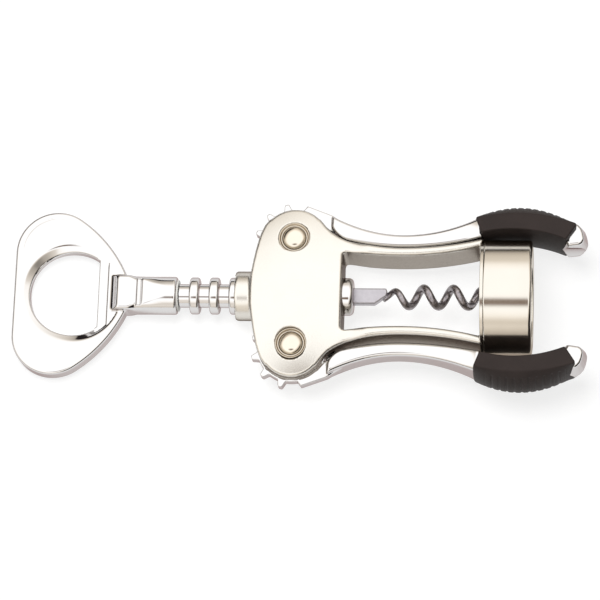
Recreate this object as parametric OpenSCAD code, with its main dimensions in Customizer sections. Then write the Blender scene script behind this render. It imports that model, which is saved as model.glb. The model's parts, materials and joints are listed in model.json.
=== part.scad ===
// Lever corkscrew lying on its back, worm axis along X, origin at the centre of the bell's mouth.
// X runs from the handle to the bell, Y across the two levers, Z up through the front plate.

/* [Spindle and gears] */
// Distance between neighbouring rings of the rack, mm
rack_pitch = 6.22; // [5.9:0.01:6.4]
// Radius of the rings
ring_r = 5.8; // [5.5:0.05:6]
// Width of one ring along the spindle
ring_w = 3; // [2.6:0.05:3.2]
// Radius at the bottom of the grooves
groove_r = 3.7; // [3.5:0.05:4]
// Radius of the round shank of the handle
shank_r = 6; // [5.8:0.05:6.2]
// Radius of the core rod inside the rack
rod_r = 2.6; // [2.2:0.05:2.8]
// Thickness of the gear end of each lever
gear_t = 3.6; // [3:0.1:4.4]
// Working gap between the moving pieces
gap = 0.35; // [0.3:0.01:0.4]
// Running clearance of the rod and of the rivets, on the radius
run_c = 0.06; // [0.04:0.01:0.09]

/* [Frame] */
// Distance from the bell's mouth to the lever pivots
pivot_back = 74.2; // [73:0.1:76]
// Radius of the head's rounded lobes round the pivots
lobe_r = 9.95; // [9.6:0.05:10.4]
// Height of the domed head above the worm axis
dome_h = 9.7; // [9:0.1:10.5]
// Radius of the dome on the head
dome_r = 79; // [60:1:120]
// Half depth of the arms
arm_z = 8; // [7:0.1:8.2]
// Half width of the window at the waist
waist_y = 11.3; // [10.5:0.1:11.8]
// Thickness of an arm at the waist
arm_t = 2.4; // [2:0.1:2.8]
// Radius of the collar round the spindle
collar_r = 7.75; // [7.6:0.05:8.2]
// Length of the collar in front of the head
collar_l = 5; // [4:0.1:7]
// Rivet shank radius
rivet_r = 2.4; // [2:0.1:2.8]
// Radius of the domed rivet heads
rivet_head_r = 3.6; // [3.2:0.05:4]

/* [Bell] */
// Outside radius of the bell
bell_r = 17.9; // [17.6:0.05:19]
// Thickness of the bell's wall round the bore
bell_wall = 2.3; // [2:0.05:3]
// Length of the bell with the frame's end ring
bell_l = 15.9; // [15:0.1:20]
// Distance from the seat for the bottle to the bell's end at the frame
seat_back = 4.4; // [4:0.1:5]

/* [Worm] */
// Outside radius of the worm
worm_r = 4.1; // [3.8:0.05:4.4]
// Radius of the worm's wire
wire_r = 1.25; // [1.1:0.05:1.3]
// Pitch of the worm
worm_pitch = 9.2; // [8.5:0.1:10]
// Number of turns
worm_turns = 3.6; // [3:0.05:3.65]
// Length of the straight shank of the worm that shows
worm_shank = 11.2; // [10:0.1:12]

/* [Handle] */
// Thickness of the cap lifter plate
plate_t = 6; // [5:0.1:6.4]
// Half width of the plate across its lobes
plate_y = 26.5; // [24:0.1:28]
// Length of the plate from the straight end to the neck
plate_l = 38; // [36:0.1:40]
// Radius of the two rounded lobes of the plate
plate_lobe = 12.95; // [12:0.05:14]
// Radius of the opener hole
hole_r = 13.5; // [12.8:0.1:14]
// Distance from the hole's centre to the straight tongue
tongue_x = 8.2; // [7.6:0.1:9]

/* [Levers] */
// Half depth of the lever arms at the waist
lever_z = 4.4; // [3.8:0.1:4.8]
// Half depth of the lever where it meets its grip
flare_z = 6.7; // [5.5:0.1:7]
// Half depth of the grips
grip_z = 9; // [8:0.1:9.4]
// How far the sides of the grip bulge
grip_bulge = 4; // [3.4:0.1:4.4]
// Play of the levers at rest, towards one side, in degrees
lever_sag = 0.5; // [0:0.1:0.8]
// Room between the bell and the hollow in the grips
grip_relief = 2.7; // [0.5:0.1:3.2]
// Angle each lever can be raised to
lever_max = 150; // [120:1:150]

/* [Hidden] */
$fn = 96;
e = 0.01;
teeth = 12;
pitch_r = rack_pitch * teeth / (2 * PI);
tip_r = pitch_r + 1.13;
px = -pivot_back;
py = groove_r + tip_r + gap;
root_r = py - ring_r - gap;
mesh_shift = -0.5;
bore_r = bell_r - bell_wall;
bore_l = bell_l - seat_back;
neck_clear = bore_r + 0.05;
tooth_phase = asin(mesh_shift / pitch_r);
travel = pitch_r * lever_max * PI / 180;
cheek_z = gear_t / 2 + gap + 0.05;
shaft_hole = shank_r + gap;
bush_r = shaft_hole + 0.7;
shank_end = px - 36.7;
washer_t = 0.5;
rack_x0 = shank_end + washer_t + gap;
rack_x1 = px + 14.1;
ferrule_x0 = rack_x1 + gap;
ferrule_x1 = ferrule_x0 + 3.8;
wall_x0 = px + tip_r + 0.45;
wall_x1 = wall_x0 + 2.1;
collar_x0 = px - 13.5 - collar_l;
ring_x = px + mesh_shift;
helix_r = worm_r - wire_r;
worm_x0 = ferrule_x1 + worm_shank;
end_ring_t = 1.05;
plug_r = bore_r + 0.7;
bore_end = -bore_l + 0.03;
seat_x0 = bore_end - 1.1;
neck_x = shank_end - 13.6;
plate_x0 = neck_x - plate_l;
lobe_x = plate_x0 + plate_lobe;
lobe_y = plate_y - plate_lobe;
flank_k = 1.463;
flank_end = plate_l - plate_lobe - 0.27;
flank_dx = (flank_end * flank_end + lobe_y * lobe_y - plate_lobe * plate_lobe)
    / (2 * (lobe_y * flank_k + plate_lobe * sqrt(1 + flank_k * flank_k) - flank_end));
flank_dy = flank_k * flank_dx;
flank_r = sqrt(flank_dx * flank_dx + flank_dy * flank_dy) + plate_lobe;
hole_x = plate_x0 + hole_r + 5;
boss_x = neck_x - 4.8;
flat_z = plate_t / 2 + 0.15;
pin_x = neck_x + 2.2;
grip_cx = -4;
head_h = 0.44 * rivet_head_r;
head_dome = 1.9 * rivet_head_r;
arm_w0 = waist_y + arm_t;
arm_x = -40.5;
arm_end = -bell_l + 0.1;
core_in = 21.5;
core_out = 25.2;
cav = 0.05;

// Sub-part to build

module tube_x(x0, x1, ro, ri) {
    translate([x0, 0, 0]) rotate([0, 90, 0]) difference() {
        cylinder(r = ro, h = x1 - x0);
        translate([0, 0, -1]) cylinder(r = ri, h = x1 - x0 + 2);
    }
}

module rod_x(x0, x1, r) {
    translate([x0, 0, 0]) rotate([0, 90, 0]) cylinder(r = r, h = x1 - x0);
}

// body of revolution about X, profile given as [x, r] points
module turned(pts) {
    rotate([0, 90, 0]) rotate_extrude() polygon([for (p = pts) [p[1], p[0]]]);
}

module slab(z0, z1) {
    translate([0, 0, z0]) linear_extrude(z1 - z0) children();
}

module both() {
    children();
    mirror([0, 1, 0]) children();
}

// waisted edge of an arm: distance from the axis at x, growing towards both ends
function waist(x, y0, kl, kr) = y0 + (x < arm_x ? kl : kr) * pow(x - arm_x, 2);

// ---- frame ----
module head_2d() {
    both() {
        translate([px, py]) circle(r = lobe_r);
        polygon([[px - 13.2, -e], [px - 13.1, 4.6], [px - 12.5, 8.9], [px - 11.8, 13], [px - 10.9, py + 0.3], [px - 10.2, py + 2.4],
                 [px - 9.3, py + 4.6], [px - lobe_r * 0.797, py + lobe_r * 0.633], [px, py + 2],
                 [px + lobe_r * 0.766, py + lobe_r * 0.643], [px + 9.5, py + 4.3], [px + 11.1, py + 2.6], [px + 13, py + 0.9],
                 [wall_x1, py - 0.9], [wall_x1, -e]]);
    }
}

module frame_arm_2d() {
    polygon(concat(
        [for (i = [0 : 22]) let (x = wall_x1 - e + (-bell_l + 0.5 - wall_x1) * i / 22) [x, waist(x, arm_w0, 0.0085, 0.0045)]],
        [for (i = [22 : -1 : 0]) let (x = wall_x1 - e + (-bell_l + 0.5 - wall_x1) * i / 22) [x, waist(x, waist_y, 0.0045, 0.0042)]]));
}

module frame() color([0.74, 0.71, 0.66]) {
    difference() {
        union() {
            intersection() {
                slab(-dome_h - 1, dome_h + 1) head_2d();
                translate([px, 0, dome_h - dome_r]) sphere(r = dome_r, $fn = 180);
                translate([px, 0, dome_r - dome_h]) sphere(r = dome_r, $fn = 180);
            }
            slab(-arm_z, arm_z) translate([wall_x0, -waist_y - 2]) square([wall_x1 - wall_x0, 2 * waist_y + 4]);
            slab(-arm_z, arm_z) both() frame_arm_2d();
            turned([[-bell_l, 0], [-bell_l, bell_r - 0.3], [-bell_l + 0.3, bell_r], [-bell_l + end_ring_t, bell_r],
                    [-bell_l + end_ring_t, plug_r - 0.03], [seat_x0, plug_r - 0.03], [seat_x0, 0]]);
            turned([[collar_x0, 0], [collar_x0, collar_r - 0.8], [collar_x0 + 0.3, collar_r - 0.25], [collar_x0 + 0.9, collar_r],
                    [px - 10.7, collar_r], [px - 10.7, 0]]);
        }
        // slot between the cheeks, open to both sides
        difference() {
            slab(-cheek_z, cheek_z) translate([px - 20, -40]) square([20 + wall_x0 - px, 80]);
            rod_x(collar_x0 - 1, px - 10.7, collar_r - e);
        }
        // way of the ringed spindle
        rod_x(collar_x0 + 1.2, wall_x1 + 1, shaft_hole);
        rod_x(collar_x0 - 1, px - 10.2, bush_r);
        // hole for the worm through the end ring
        rod_x(-bell_l - 1, 0, worm_r + 2.4);
        // rivet holes and the dished seats of their heads
        both() translate([px, py, 0]) {
            translate([0, 0, -20]) cylinder(r = rivet_r + 0.01, h = 40);
            translate([0, 0, rivet_seat]) cylinder(r = rivet_head_r + 1.2, h = 5);
            translate([0, 0, -rivet_seat - 5]) cylinder(r = rivet_head_r + 1.2, h = 5);
        }
    }
}

rivet_seat = dome_h - (dome_r - sqrt(dome_r * dome_r - pow(py + rivet_head_r + 1.2, 2))) - 0.15;

module bell() color([0.76, 0.73, 0.68])
    turned([[-bell_l + end_ring_t + 0.05, plug_r], [-bell_l + end_ring_t + 0.05, bell_r - 0.5], [-bell_l + end_ring_t + 0.35, bell_r - 0.1],
            [-bell_l + end_ring_t + 0.8, bell_r], [-0.9, bell_r], [-0.35, bell_r - 0.2], [0, bell_r - 0.8],
            [0, bore_r], [bore_end, bore_r], [bore_end, plug_r]]);

module seat_ring() color([0.85, 0.84, 0.8])
    turned([[seat_x0 + 0.02, worm_r + 2.4], [seat_x0 + 0.02, plug_r - 0.05], [-bore_l - 0.4, plug_r - 0.05], [-bore_l, bore_r - 0.15], [-bore_l, worm_r + 2.4]]);

module collar_bush() color([0.2, 0.2, 0.2])
    tube_x(collar_x0 + 0.4, px - 10.3, bush_r - 0.02, shaft_hole);

// ---- spindle ----
module rack_sleeve() color([0.8, 0.8, 0.82]) {
    n0 = ceil((rack_x0 + ring_w / 2 - ring_x) / rack_pitch);
    n1 = floor((rack_x1 - ring_w / 2 - ring_x) / rack_pitch);
    c = 0.5;
    turned(concat(
        [[rack_x0, rod_r + run_c], [rack_x0, groove_r]],
        [for (k = [n0 : n1], j = [0 : 5]) let (x = ring_x + k * rack_pitch, h = ring_w / 2)
            j == 0 ? [x - h, groove_r] : j == 1 ? [x - h, ring_r - c] : j == 2 ? [x - h + c, ring_r]
            : j == 3 ? [x + h - c, ring_r] : j == 4 ? [x + h, ring_r - c] : [x + h, groove_r]],
        [[rack_x1, groove_r], [rack_x1, rod_r + run_c]]));
}

module core_rod() color([0.6, 0.6, 0.62]) difference() {
    rod_x(neck_x - 2, ferrule_x0 + 1.6, rod_r);
    translate([pin_x, 0, 0]) cylinder(r = 1.01, h = 9, center = true);
}

module thrust_washer() color([0.92, 0.92, 0.9])
    tube_x(shank_end + 0.02, shank_end + washer_t, groove_r + 1.2, rod_r + 0.02);

module ferrule() color([0.82, 0.82, 0.84])
    turned([[ferrule_x0, rod_r + 0.02], [ferrule_x0, ring_r - 0.5], [ferrule_x0 + 0.5, ring_r + 0.1], [ferrule_x1 - 1.4, ring_r + 0.1],
            [ferrule_x1 - 0.7, ring_r - 0.2], [ferrule_x1, ring_r - 1.3], [ferrule_x1, rod_r + 0.02]]);

// helical wire on a straight shank; the cut square to the axis leaves a slanting point
module worm() color([0.33, 0.33, 0.35]) {
    lead = atan(worm_pitch / (2 * PI * helix_r));
    rod_x(ferrule_x0 + 1.65, ferrule_x1 + 0.3, rod_r - 0.01);
    slab(-1.6, 1.6) polygon([[ferrule_x1 + 0.05, -2.5], [worm_x0 - 4.2, -2.5], [worm_x0 - 0.6, 0.1], [worm_x0 - 0.3, 1.4], [worm_x0 - 0.7, 2.5], [ferrule_x1 + 0.05, 2.5]]);
    // the wire swells out from the end of the shank
    intersection() {
        translate([worm_x0 - 2.2, 0, 0]) rotate([90, 0, 90]) rotate(-139)
            linear_extrude(worm_pitch * worm_turns, twist = -360 * worm_turns, slices = 18 * worm_turns, $fn = 14)
                polygon([for (i = [0 : 13]) let (t = 360 * i / 14, psi = wire_r * cos(t) / sin(lead) / helix_r * 180 / PI, r = helix_r + wire_r * sin(t))
                    [r * cos(psi), r * sin(psi)]]);
        turned([[worm_x0 - 1.2, 0], [worm_x0 - 1.2, 2.4], [worm_x0 + 3.4, worm_r + 0.6], [0, worm_r + 0.6], [0, 0]]);
    }
}

// ---- handle ----
module cham_disc(r, t, c) {
    translate([0, 0, -t / 2 + c]) cylinder(r = r, h = t - 2 * c);
    translate([0, 0, t / 2 - c]) cylinder(r1 = r, r2 = r - c, h = c);
    translate([0, 0, -t / 2]) cylinder(r1 = r - c, r2 = r, h = c);
}

module handle() color([0.82, 0.82, 0.84]) difference() {
    union() {
        difference() {
            union() {
                both() translate([lobe_x, lobe_y, 0]) cham_disc(plate_lobe, plate_t, 1.3);
                // gently curved flanks that meet the lobes on a tangent
                intersection() {
                    translate([lobe_x - flank_dx, lobe_y - flank_dy, 0]) cham_disc(flank_r, plate_t, 1.3);
                    translate([lobe_x - flank_dx, flank_dy - lobe_y, 0]) cham_disc(flank_r, plate_t, 1.3);
                    slab(-9, 9) translate([lobe_x + plate_lobe * flank_dx / (flank_r - plate_lobe), -30]) square([60, 60]);
                }
                // straight end between the lobes
                translate([0, lobe_y, 0]) rotate([90, 0, 0]) linear_extrude(2 * lobe_y)
                    polygon([[plate_x0, -plate_t / 2 + 1.3], [plate_x0 + 1.3, -plate_t / 2], [lobe_x + 8, -plate_t / 2], [lobe_x + 8, plate_t / 2],
                             [plate_x0 + 1.3, plate_t / 2], [plate_x0, plate_t / 2 - 1.3]]);
            }
            // dished ring and hole
            translate([hole_x, 0, 1.1]) cylinder(r1 = hole_r, r2 = hole_r + 2.6, h = plate_t / 2 - 1.1 + e);
            translate([hole_x, 0, -plate_t / 2 - e]) cylinder(r1 = hole_r + 2.6, r2 = hole_r, h = plate_t / 2 - 1.1 + e);
            slab(-9, 9) intersection() {
                translate([hole_x, 0]) circle(r = hole_r);
                translate([hole_x - 20, -20]) square([20 + tongue_x, 40]);
            }
        }
        // raised pad of the tongue
        slab(-1.7, 1.7) translate([hole_x + tongue_x, -5.6]) square([6, 11.2]);
        // flat neck running into the round shank
        difference() {
            rod_x(boss_x, shank_end, shank_r);
            for (s = [0, 1]) mirror([0, 0, s]) {
                translate([neck_x + 3, 0, flat_z + 12.8]) rotate([90, 0, 0]) cylinder(r = 12.8, h = 20, center = true);
                translate([boss_x - 1, -10, flat_z]) cube([neck_x + 4 - boss_x, 20, 6]);
            }
        }
    }
    rod_x(neck_x - 2.1, shank_end + 1, rod_r + 0.01);
    translate([pin_x, 0, -9]) cylinder(r = 1.01, h = 9 + rod_r + 0.6);
}

module handle_pin() color([0.6, 0.6, 0.62])
    translate([pin_x, 0, -flat_z - 0.1]) cylinder(r = 1, h = flat_z + 0.1 + rod_r + 0.5);

// ---- levers ----
module gear_2d() {
    circle(r = root_r);
    for (i = [0 : 6]) rotate(285 + tooth_phase - 30 * i)
        polygon([[root_r - 1, -1.3], [root_r, -1.3], [tip_r - 0.25, -0.8], [tip_r, -0.55], [tip_r, 0.55], [tip_r - 0.25, 0.8], [root_r, 1.3], [root_r - 1, 1.3]]);
}

// edges of the lever arm in plan
function lever_in(x) = waist(x, 16.05, 0.0066, 0.0047);
function lever_out(x) = waist(x, 19.5, 0.0118, 0.0082);

module lever_arm_2d() {
    xs = [for (i = [0 : 24]) px + 12.6 + (arm_end - px - 12.6) * i / 24];
    difference() {
        polygon(concat([for (x = xs) [x, lever_out(x)]], [for (i = [24 : -1 : 0]) [xs[i], lever_in(xs[i])]]));
        translate([px, py]) circle(r = tip_r + 0.05);
    }
}

// part of the lever inside and beyond the grip, curved with it
module core_2d(d) {
    intersection() {
        translate([grip_cx, core_out - 26]) circle(r = 26 + d);
        difference() {
            translate([arm_end - 1.2, 12]) square([13.6 - arm_end, 16]);
            translate([grip_cx - 1, core_in - 44]) circle(r = 44 - d);
        }
    }
}

module lever() {
    difference() {
        union() {
            slab(-gear_t / 2, gear_t / 2) translate([px, py]) gear_2d();
            // thin web from the gear to the arm, starting as half a tooth
            slab(-gear_t / 2, gear_t / 2) polygon([[px + root_r * 0.72, py + root_r * 0.5], [px + root_r * 0.17, py + root_r * 0.96],
                [px + tip_r * 0.25, py + tip_r * 0.94], [px + tip_r * 0.86, py + tip_r * 0.71], [px + 15.5, py + 6.4], [px + 18, lever_in(px + 18) + 0.2]]);
            intersection() {
                slab(-grip_z, grip_z) lever_arm_2d();
                translate([0, 50, 0]) rotate([90, 0, 0]) linear_extrude(60) polygon(concat(
                    [for (i = [0 : 20]) let (x = px + 12 + (-15 - px - 12) * i / 20) [x, lever_z + (flare_z - lever_z) * pow(max(0, (x + 44) / 29), 2)]],
                    [for (i = [20 : -1 : 0]) let (x = px + 12 + (-15 - px - 12) * i / 20) [x, -lever_z - (flare_z - lever_z) * pow(max(0, (x + 44) / 29), 2)]]));
            }
            slab(-grip_z + 2.6, grip_z - 2.6) core_2d(0);
            // blunt polished end of the lever
            slab(-6.2, 6.2) polygon([[10.2, 15.9], [10.7, 18], [13.07, 22.6], [14.6, 21.4], [16, 20.1], [16.8, 19], [17.1, 18],
                                     [17, 17.1], [16.5, 16.4], [15.4, 15.9]]);
        }
        translate([px, py, -20]) cylinder(r = rivet_r + run_c, h = 40);
    }
}

// levers hang a little to one side in their play, and leave room for the neck of a bottle in the bell
module sagged(s) difference() {
    translate([px, s * py, 0]) rotate(-lever_sag) translate([-px, -s * py, 0]) children();
    rod_x(0, 2 * bell_r, neck_clear);
}

module upper_lever() color([0.82, 0.82, 0.84]) sagged(1) lever();
module lower_lever() color([0.82, 0.82, 0.84]) sagged(-1) mirror([0, 1, 0]) lever();

// ---- grips: two bulging sides, one following a convex and one a concave curve ----
module grip() {
    g = grip_bulge;
    rs = (grip_z * grip_z + g * g) / (2 * g);
    difference() {
        intersection() {
            translate([grip_cx, 3.7, 0]) rotate_extrude($fn = 144) union() {
                intersection() {
                    translate([25.8 - rs, 0]) circle(r = rs);
                    translate([0, -grip_z]) square([40, 2 * grip_z]);
                }
                translate([0, -grip_z]) square([25.8 - rs, 2 * grip_z]);
            }
            slab(-grip_z, grip_z) polygon([[-18.6, 31], [-17.8, 24], [-15.9, 19], [-15.5, 13], [9.4, 13], [10.6, 18], [13, 22.6], [14.4, 26], [14.4, 31]]);
        }
        translate([grip_cx - 1, -24.5, 0]) rotate_extrude($fn = 144) difference() {
            translate([0, -grip_z - 1]) square([46, 2 * grip_z + 2]);
            translate([46 - g + rs, 0]) circle(r = rs);
        }
        // hollow that clears the bell
        rod_x(-2 * bell_l, gap, bell_r + grip_relief);
        slab(-grip_z + 2.6 - cav, grip_z - 2.6 + cav) core_2d(cav);
        slab(-flare_z - cav, flare_z + cav) polygon(concat(
            [for (i = [0 : 2]) let (x = arm_end + cav - 3.1 * i) [x, lever_out(x) + cav]],
            [for (i = [2 : -1 : 0]) let (x = arm_end + cav - 3.1 * i) [x, lever_in(x) - cav]]));
    }
}

module upper_grip() color([0.2, 0.19, 0.18]) sagged(1) grip();
module lower_grip() color([0.2, 0.19, 0.18]) sagged(-1) mirror([0, 1, 0]) grip();

// ---- rivets ----
module rivets() color([0.82, 0.8, 0.74]) both() translate([px, py, 0]) {
    translate([0, 0, -rivet_seat - 0.3]) cylinder(r = rivet_r, h = 2 * rivet_seat + 0.6);
    for (s = [0, 1]) mirror([0, 0, s]) intersection() {
        translate([0, 0, rivet_seat]) cylinder(r = rivet_head_r, h = rivet_r);
        translate([0, 0, rivet_seat + head_h - head_dome]) sphere(r = head_dome);
    }
}

module rivet_washers() color([0.9, 0.9, 0.88]) both() for (s = [-1, 1])
    translate([px, py, s * (gear_t / 2 + cheek_z) / 2]) difference() {
        cylinder(r = 5, h = cheek_z - gear_t / 2 - 0.24, center = true);
        cylinder(r = rivet_r + run_c, h = 1, center = true);
    }

frame();
bell();
seat_ring();
collar_bush();
upper_lever();
lower_lever();
upper_grip();
lower_grip();
rivets();
rivet_washers();
handle();
handle_pin();
core_rod();
thrust_washer();
rack_sleeve();
ferrule();
worm();
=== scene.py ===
import json
import math

import bmesh
import bpy
import numpy as np
from mathutils import Matrix, Vector


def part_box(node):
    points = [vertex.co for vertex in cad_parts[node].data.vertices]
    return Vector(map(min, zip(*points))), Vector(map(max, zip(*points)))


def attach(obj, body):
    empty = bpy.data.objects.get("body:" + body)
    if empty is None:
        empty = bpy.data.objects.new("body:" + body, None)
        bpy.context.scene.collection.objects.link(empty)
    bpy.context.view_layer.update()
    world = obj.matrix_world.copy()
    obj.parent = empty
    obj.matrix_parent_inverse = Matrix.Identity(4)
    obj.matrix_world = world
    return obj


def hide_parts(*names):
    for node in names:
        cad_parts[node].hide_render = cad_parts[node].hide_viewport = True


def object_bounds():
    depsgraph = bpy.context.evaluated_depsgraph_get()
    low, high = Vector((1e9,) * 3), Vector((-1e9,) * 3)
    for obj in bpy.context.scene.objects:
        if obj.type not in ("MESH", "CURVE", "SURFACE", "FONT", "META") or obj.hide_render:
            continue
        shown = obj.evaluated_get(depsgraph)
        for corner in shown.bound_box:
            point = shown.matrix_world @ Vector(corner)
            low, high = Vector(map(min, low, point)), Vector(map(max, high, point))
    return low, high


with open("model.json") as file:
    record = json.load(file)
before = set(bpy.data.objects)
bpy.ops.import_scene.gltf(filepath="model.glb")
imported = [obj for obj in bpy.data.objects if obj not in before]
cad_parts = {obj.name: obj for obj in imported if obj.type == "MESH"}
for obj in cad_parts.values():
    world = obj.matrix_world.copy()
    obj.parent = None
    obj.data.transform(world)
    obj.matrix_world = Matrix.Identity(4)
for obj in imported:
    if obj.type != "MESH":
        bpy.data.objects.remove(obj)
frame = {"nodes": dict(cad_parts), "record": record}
cad_lo, cad_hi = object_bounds()
MM = 0.001

# ---------------------------------------------------------------- sizes, in millimetres
joints = {j["name"]: j for j in frame["record"]["behaviour"]["joints"]}


def span(node):
    """Lowest and highest corner of a CAD node in millimetres."""
    lo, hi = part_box(node)
    return np.array(lo) / MM, np.array(hi) / MM


pivot_x, pivot_y = (v / MM for v in joints["upper_lever_pivot"]["pos_m"][:2])
bell_lo, bell_hi = span("bell")
seat_lo, seat_hi = span("seat_ring")
handle_lo, handle_hi = span("handle")
rack_lo, rack_hi = span("rack_sleeve")
ferrule_lo, ferrule_hi = span("ferrule")
bush_lo = span("collar_bush")[0]
rivet_hi = span("rivets")[1]

# bell, and the flange behind it that belongs to the head's casting
bell_r = bell_hi[2]
bore_r = bell_r - 2.3
flange_l = 1.05
bell_l = 1.1 - bell_lo[0]

# ringed rack and the gears that mesh with it; first_tooth, and the lean of the levers in their play, are in degrees
ring_r = rack_hi[2]
groove_r = 3.7
ring_w = 3.0
rack_pitch = 6.22
gear_teeth = 12
cut_teeth = 7
first_tooth = 285
pitch_r = rack_pitch * gear_teeth / (2 * math.pi)
tip_r = pitch_r + 1.13
root_r = pivot_y - ring_r - 0.35
gear_half = 1.8
lever_sag = 0.5

# handle: a plate with two lobes and a hole, a neck and a round shank
shank_end = handle_hi[0]
shank_r = 6.0
plate_x0 = handle_lo[0]
plate_half = 3.0
plate_lobe = 12.95
lobe_x, lobe_y = plate_x0 + plate_lobe, handle_hi[1] - plate_lobe
hole_r = 13.5
hole_x = plate_x0 + hole_r + 5
tongue_x = hole_x + 8.2
neck_x = shank_end - 13.6
boss_z, boss_front, pocket_x = 4.75, neck_x - 7.1, neck_x + 1.4

# head: a shallow dome that runs out from dome_end into flat arms, slotted for the gears, with a collar for the shank
dome_h, dome_r = 9.7, 79.0
dome_end, dome_fade = -60.5, 10.0
lobe_r = 9.95
arm_z = 8.0
arm_x = -40.5
arm_end = -bell_l + 0.1
cheek_z = gear_half + 0.4
wall_x0 = pivot_x + tip_r + 0.45
wall_x1 = wall_x0 + 1.7
collar_x0 = bush_lo[0] - 0.4
collar_x1 = pivot_x - 10.7
collar_r = 7.75
shaft_hole = shank_r + 0.35
recess_r = 4.8
recess_z = dome_h - (dome_r - math.sqrt(dome_r ** 2 - (pivot_y + recess_r) ** 2)) - 0.15

# grips
grip_z = 9.0
grip_cx = -4.0
girth_r, girth_y = 25.7, 3.7
crease_y, crease_bend = 25.3, 114
side_bulge, whole_fall = 0.62, 0.3836
rib_pitch, rib_first, rib_count, rib_depth, rib_z = 2.3, -13.2, 11, 0.19, 7.3

# worm, with its flat shank in the ferrule
worm_r, wire_r, worm_pitch, worm_turns = 4.1, 1.25, 9.2, 3.6
worm_x, worm_angle = ferrule_hi[0] + 9.0, -139
hidden = 0.55  # length of the winding that is left out at its start, where the flat shank takes over
flat_w, flat_half = 2.5, 1.6


# ---------------------------------------------------------------- shapes as distance fields
def soft_max(a, b, k):
    """The larger of two distances, with the corner between them rounded over a width of k."""
    h = np.maximum(k - np.abs(a - b), 0) / k
    return np.maximum(a, b) + h * h * k / 4


def soft_min(a, b, k):
    """The smaller of two distances, rounded in the same way."""
    return -soft_max(-a, -b, k)


def smooth(t):
    """A step from 0 to 1 with soft ends."""
    t = np.clip(t, 0, 1)
    return t * t * (3 - 2 * t)


def outline(x, y, points):
    """Signed distance to a closed outline in the XY plane, negative inside."""
    p = np.asarray(points, float)
    best = np.full(np.broadcast(x, y).shape, 1e9)
    inside = np.zeros(best.shape, bool)
    for (ax, ay), (bx, by) in zip(p, np.roll(p, -1, 0)):
        ex, ey = bx - ax, by - ay
        wx, wy = x - ax, y - ay
        t = np.clip((wx * ex + wy * ey) / max(ex * ex + ey * ey, 1e-12), 0, 1)
        dx, dy = wx - t * ex, wy - t * ey
        best = np.minimum(best, dx * dx + dy * dy)
        if abs(ey) > 1e-12:
            hit = ((ay > y) != (by > y)) & (x < ax + (y - ay) * ex / ey)
            inside ^= hit
    return np.where(inside, -1.0, 1.0) * np.sqrt(best)


def arc(cx, cy, r, a0, a1, n):
    """Points on an arc from angle a0 to a1, in degrees."""
    a = np.radians(np.linspace(a0, a1, n))
    return [(cx + r * math.cos(t), cy + r * math.sin(t)) for t in a]


def waist(x, y0, left, right):
    """An edge along the arm that is y0 from the axis at its waist and swings out on both sides."""
    return y0 + np.where(x < arm_x, left, right) * (x - arm_x) ** 2


def lever_in(x):
    """The lever's edge on the side of the worm."""
    return waist(x, 15.3, 0.0071, 0.0049)


def lever_out(x):
    """The lever's outer edge."""
    return waist(x, 19.6, 0.0118, 0.0094)


def strip(xs, outer, inner):
    """The outline between two edges, out along one and back along the other."""
    return [(x, float(outer(x))) for x in xs] + [(x, float(inner(x))) for x in xs[::-1]]


def stand(name, data):
    """Puts a mesh, a light or a camera in the scene as an object of its own."""
    obj = bpy.data.objects.new(name, data)
    bpy.context.scene.collection.objects.link(obj)
    return obj


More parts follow.
